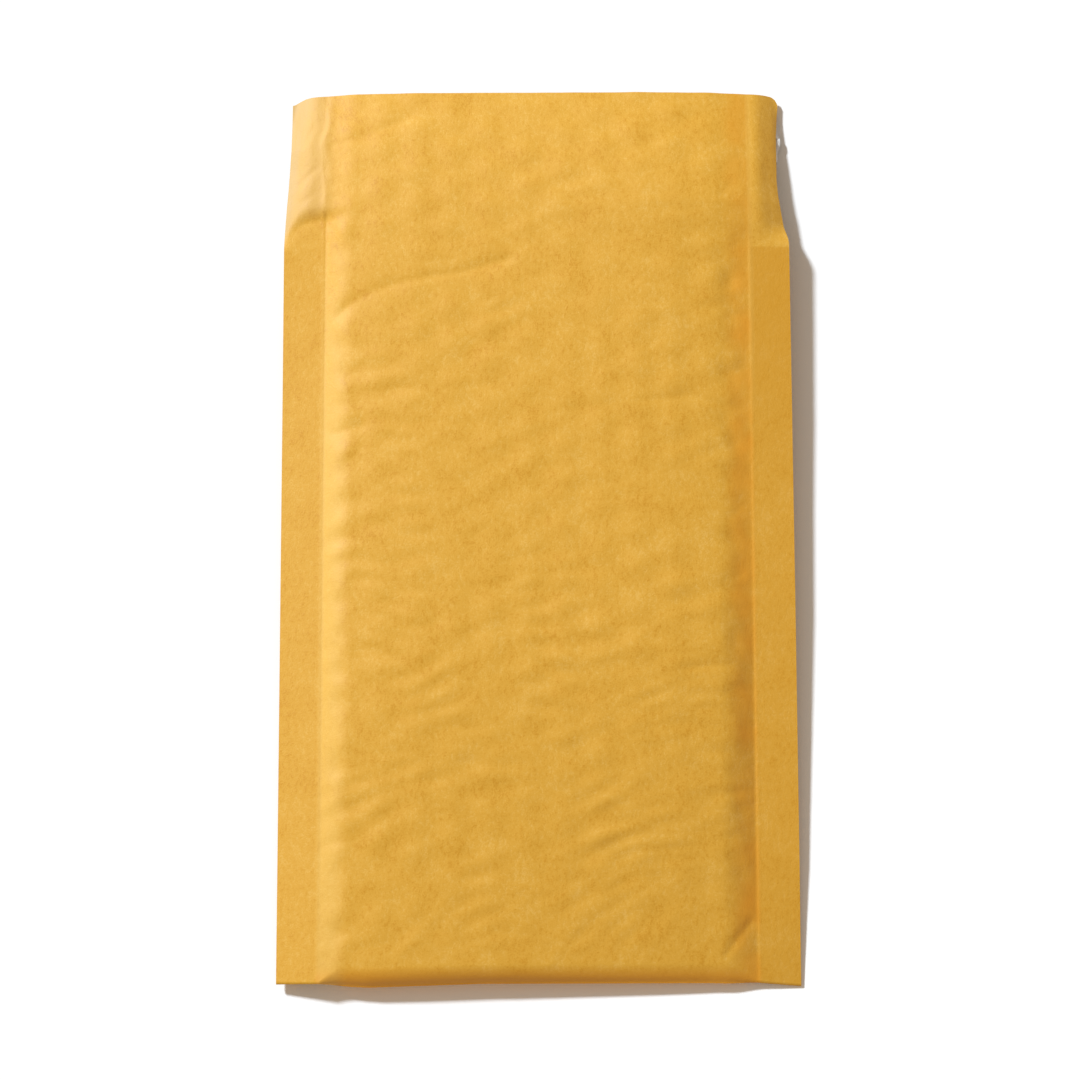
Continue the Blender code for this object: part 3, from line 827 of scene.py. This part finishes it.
# The lamp-facing left flap margin, which gets painted lightening and a duller painted sheen, most at
# its rim.
left_flap = ((0 - to_right).rise(SEAM_LINE - 4 * MM, SEAM_LINE + 3 * MM)
             * (upward - arc).rise(MOUTH_Y, MOUTH_Y + LEFT_EASE))
rim = (side + (upward - MOUTH_Y) * 0.14).rise(SEAM_LINE + 9.6 * MM, SEAM_LINE + 12.6 * MM)
# A painted highlight along the heat seal's edge at the upper right.
seal_highlight = (to_right.rise(57.7 * MM, 58.3 * MM) * (1 - to_right.rise(58.8 * MM, 60 * MM))
             * upward.rise(20 * MM, 60 * MM))
print("kraft nodes so far:", len(kraft.tree.nodes))

# %% [markdown]
# The tones go over each other like thin coats, from first to last. The grain also lifts the
# surface, so the same noises feed the roughness and a Bump node.

# %% Kraft: coats and tooth
# The colour of the painted sheen on the left flap margin.
KRAFT_FLAP_SHEEN = (0.620, 0.400, 0.145, 1)
# The colour of the painted shade on the right roll and the foot.
KRAFT_PAINTED_SHADE = (0.790, 0.330, 0.018, 1)
# The colour of the painted sheen on the left roll.
KRAFT_ROLL_SHEEN = (0.820, 0.505, 0.110, 1)
TOOTH = {"Strength": 0.35, "Distance": 0.00012}

tone = cloudy
# Single-ply margins are painted a little lighter, and the lamp-facing left flap margin is painted
# lighter still.
for share, colour in ((single * 0.08 + left_flap * 0.15, KRAFT_LIGHT),
                      (pressed_and_painted_shade, KRAFT_DEEP),
                      (right_roll.larger(foot * 0.8), KRAFT_PAINTED_SHADE),
                      (left_roll * roll_sheen, KRAFT_ROLL_SHEEN),
                      (seal_highlight * 0.30, KRAFT_LIGHT),
                      (left_flap * (rim * 0.40 + 0.36), KRAFT_FLAP_SHEEN)):
    tone = kraft.mix(share, tone, colour)
tooth = kraft.add("ShaderNodeBump", {}, {**TOOTH, "Height": mottle})
kraft.fill(kraft.shader, {"Base Color": tone, "Roughness": (0 - mottle) * 0.08 + 0.55,
                          "Normal": tooth, "Specular IOR Level": 0.4})
print("kraft nodes:", len(kraft.tree.nodes))

# %% [markdown]
# ## The folded sheet of paper
# One net for the whole sheet: fine over the address side, the rolls and the flap, coarse on the
# front panel underneath, which lies flat on the floor. Each run of the net is a start, an end and
# the longest step between them. A ply's thickness is measured straight down in the pouch, so it is
# made larger on the sloping rolls, where it would come out too thin.

# %% Paper
def slant(across, along):
    """How much further a ply's thickness reaches straight down where the roll slopes."""
    roll = by_side(across, LEFT_ROLL, RIGHT_ROLL)
    t = (SEAM_LINE - np.abs(across)) / roll
    slope = (MID_HEIGHT - SEAM_HALF) * np.pi / 2 * np.cos(np.pi / 2 * t) / roll
    on_roll = (t > 0) & (t < 1)
    steep = np.where(on_roll, np.hypot(1, slope), 1.0)
    return steep + (1 - steep) * flap_opening(across, along)


def paper_inner(across, along):
    """Depth of the paper's inner face."""
    return PAPER * slant(across, along) - relief(across, along)


WELT_OUT = SEAM_LINE + 1.5 * MM
net_across = stations((-HALF_WIDTH, -WELT_OUT, 0.6 * MM), (-WELT_OUT, -SEAM_LINE, 0.3 * MM),
                      (-SEAM_LINE, LEFT_ROLL - SEAM_LINE, 0.6 * MM),
                      (LEFT_ROLL - SEAM_LINE, SEAM_LINE - RIGHT_ROLL, 0.8 * MM),
                      (SEAM_LINE - RIGHT_ROLL, SEAM_LINE, 0.6 * MM),
                      (SEAM_LINE, WELT_OUT, 0.3 * MM), (WELT_OUT, HALF_WIDTH, 0.9 * MM))
net_along = stations((0, FOLD_START, 4 * MM), (FOLD_START, FOLD_END, 0.34 * MM),
                     (FOLD_END, MOUTH_LINE, 0.8 * MM), (MOUTH_LINE, FLAP_END, 0.72 * MM))
paper = ply("paper_sheet", net_across, net_along, lambda u, s: -relief(u, s), paper_inner)
dress(paper, kraft, "kraft_paper", "kraft_shell")

# %% [markdown]
# ## The bubble film
# Clear film could be made of glass-like walls, but each ray would then bend through many thin
# layers. At this size it is enough to let it be mostly see-through with a gloss on top: a low
# Alpha, which rises at grazing angles as a painted reflection, where real film reflects more.

# %% Film finish
clear = new_finish("bubble_film")
facing = clear.add("ShaderNodeLayerWeight", {}, {"Blend": 0.35}, output=1)
haze = clear.noise(clear.add("ShaderNodeTexCoord", output="Object"), 400, detail=2)
# Alpha rises at grazing angles: a painted reflection.
clear.fill(clear.shader, {"Base Color": (0.87, 0.89, 0.90, 1), "Roughness": haze * 0.15 + 0.10,
                          "Alpha": facing * 0.55 + haze * 0.12 + 0.20, "IOR": 1.5,
                          "Specular IOR Level": 0.6})
print("film nodes:", len(clear.tree.nodes))

# %% [markdown]
# The domes face the paper and the smooth side faces the pocket. A dome is drawn as a depth over the
# distance to the nearest bubble centre: a flat crown, a round shoulder and a foot.

# %% Lining
SIDE_SETBACK, MOUTH_SETBACK, FLAP_SETBACK, LINING_STEP = 1.2 * MM, 1.5 * MM, 3.5 * MM, 4.5 * MM
DOME_FOOT, DOME_SHOULDER, FILM_NET = 1.12, 0.55, 1.0 * MM


def film_inner(across, along):
    """Depth of the lining's smooth side, towards the pocket."""
    in_pouch = outer_half(across) - (SEAM_GAP + (CAVITY - SEAM_GAP) * swell(across, ROLL_LAG)) / 2
    lined = smooth((SEAM_LINE - np.abs(across)) / LINING_STEP)
    on_flap_depth = PAPER + PLY_GAP + FILM + BUBBLE_HEIGHT * lined
    return in_pouch + (on_flap_depth - in_pouch) * flap_opening(across, along)


def nearest_bubble(across, along):
    """Distance to the nearest centre of the hexagonal lattice."""
    best = np.full_like(across, np.inf)
    for shift in (0, 1):
        u = (across - COLUMN_SHIFT - shift * COLUMN_STEP) / (2 * COLUMN_STEP)
        v = (along - MOUTH_LINE - ROW_SHIFT - shift * ROW_STEP / 2) / ROW_STEP
        sideways, upwards = (u - np.round(u)) * 2 * COLUMN_STEP, (v - np.round(v)) * ROW_STEP
        best = np.minimum(best, np.hypot(sideways, upwards))
    return best


def film_outer(across, along):
    """Depth of the domes' side: down at the web, up at the crowns, flat by the seams."""
    web = film_inner(across, along) - FILM * slant(across, along)
    crown = np.minimum((PAPER + PLY_GAP) * slant(across, along) - relief(across, along), web)
    dome = below(nearest_bubble(across, along) / DOME_RADIUS, DOME_FOOT, DOME_SHOULDER)
    dome *= below(np.abs(across), SEAM_LINE - DOME_RADIUS / 2, 2 * MM)
    return web + (crown - web) * dome


film_half, film_end = HALF_WIDTH - SIDE_SETBACK, FLAP_END - FLAP_SETBACK
lining = ply("bubble_film_lining",
             stations((-film_half, -SEAM_LINE, 2 * MM), (-SEAM_LINE, SEAM_LINE, 0.95 * MM),
                      (SEAM_LINE, film_half, 2 * MM)),
             stations((MOUTH_SETBACK, FOLD_START, FILM_NET), (FOLD_START, FOLD_END, FILM_NET),
                      (FOLD_END, MOUTH_LINE, FILM_NET), (MOUTH_LINE, film_end, FILM_NET)),
             film_outer, film_inner)
dress(lining, clear, "bubble_film", "bubble_lining")

# %% [markdown]
# ## The closure
# Under the flap's end a band of hot-melt adhesive waits under its release liner, a strip of white
# siliconed paper that is a little longer than the flap is wide, so that a thumb finds it. Its right
# end curls up past the paper's rim, and shows as a white speck beyond the flap's edge.

# %% Adhesive and liner
ADHESIVE_WIDTH, ADHESIVE_THICKNESS, ADHESIVE_SETBACK = 10 * MM, 0.3 * MM, 3 * MM
LINER_BORDER, LINER_THICKNESS, LINER_OVERHANG = 1.0 * MM, 0.14 * MM, 1.5 * MM
ADHESIVE_MARGIN, LINER_INSET = 3 * MM, 0.5 * MM
TIP_LIFT, TIP_AT, TIP_HALF, TIP_RUN = 1.7 * MM, FLAP_END - 11.8 * MM, 2.1 * MM, 0.8 * MM
adhesive_end = film_end - ADHESIVE_SETBACK
adhesive_start = adhesive_end - ADHESIVE_WIDTH


def band(name, ends, start, end, gap, thickness, lift=lambda u, s: 0):
    """A strip across the inner side of the flap, `gap` under the lining."""
    def face(u, s):
        return film_inner(u, s) + gap - lift(u, s)

    return ply(name, stations((ends[0], -SEAM_LINE, 1 * MM), (-SEAM_LINE, SEAM_LINE, 3 * MM),
                              (SEAM_LINE, ends[1], 0.4 * MM)),
               stations((start, end, 0.5 * MM)), face, lambda u, s: face(u, s) + thickness)


def tip_lift(across, along):
    """How far the liner's right end is lifted: one narrow piece of it stands up."""
    narrow = np.exp(-((along - TIP_AT) / TIP_HALF) ** 4)
    return TIP_LIFT * smooth((across - HALF_WIDTH) / TIP_RUN) * narrow


adhesive_half = film_half - ADHESIVE_MARGIN
adhesive = band("adhesive_band", (-adhesive_half, adhesive_half), adhesive_start, adhesive_end,
                PLY_GAP, ADHESIVE_THICKNESS)
liner = band("liner_strip", (-HALF_WIDTH + LINER_INSET, HALF_WIDTH + LINER_OVERHANG),
             adhesive_start - LINER_BORDER, adhesive_end + LINER_BORDER,
             2 * PLY_GAP + ADHESIVE_THICKNESS, LINER_THICKNESS, tip_lift)

# %% [markdown]
# Hot melt is cream-coloured and glossy, with ripples from the roller. The liner is white, with a
# satin gloss and a faint fibre.

# %% Closure finishes
melt = new_finish("hot_melt")
ripple = melt.noise(melt.add("ShaderNodeTexCoord", output="Object"), 900, detail=2)
ripples = melt.add("ShaderNodeBump", {}, {"Strength": 0.5, "Distance": 0.0002, "Height": ripple})
melt.fill(melt.shader, {
    "Base Color": melt.mix(ripple, (0.72, 0.62, 0.40, 1), (0.86, 0.79, 0.60, 1)),
    "Roughness": ripple * 0.2 + 0.2, "Normal": ripples})
dress(adhesive, melt, "hot_melt", "adhesive_strip")

silicone = new_finish("siliconed_paper")
fleck = silicone.noise(silicone.add("ShaderNodeTexCoord", output="Object"), 1500, detail=3)
silicone.fill(silicone.shader, {
    "Base Color": silicone.mix(fleck, (0.80, 0.80, 0.79, 1), (0.93, 0.93, 0.92, 1)),
    "Roughness": fleck * 0.15 + 0.35})
dress(liner, silicone, "siliconed_paper", "release_liner")
print("pieces:", [piece.name for piece in (paper, lining, adhesive, liner)])
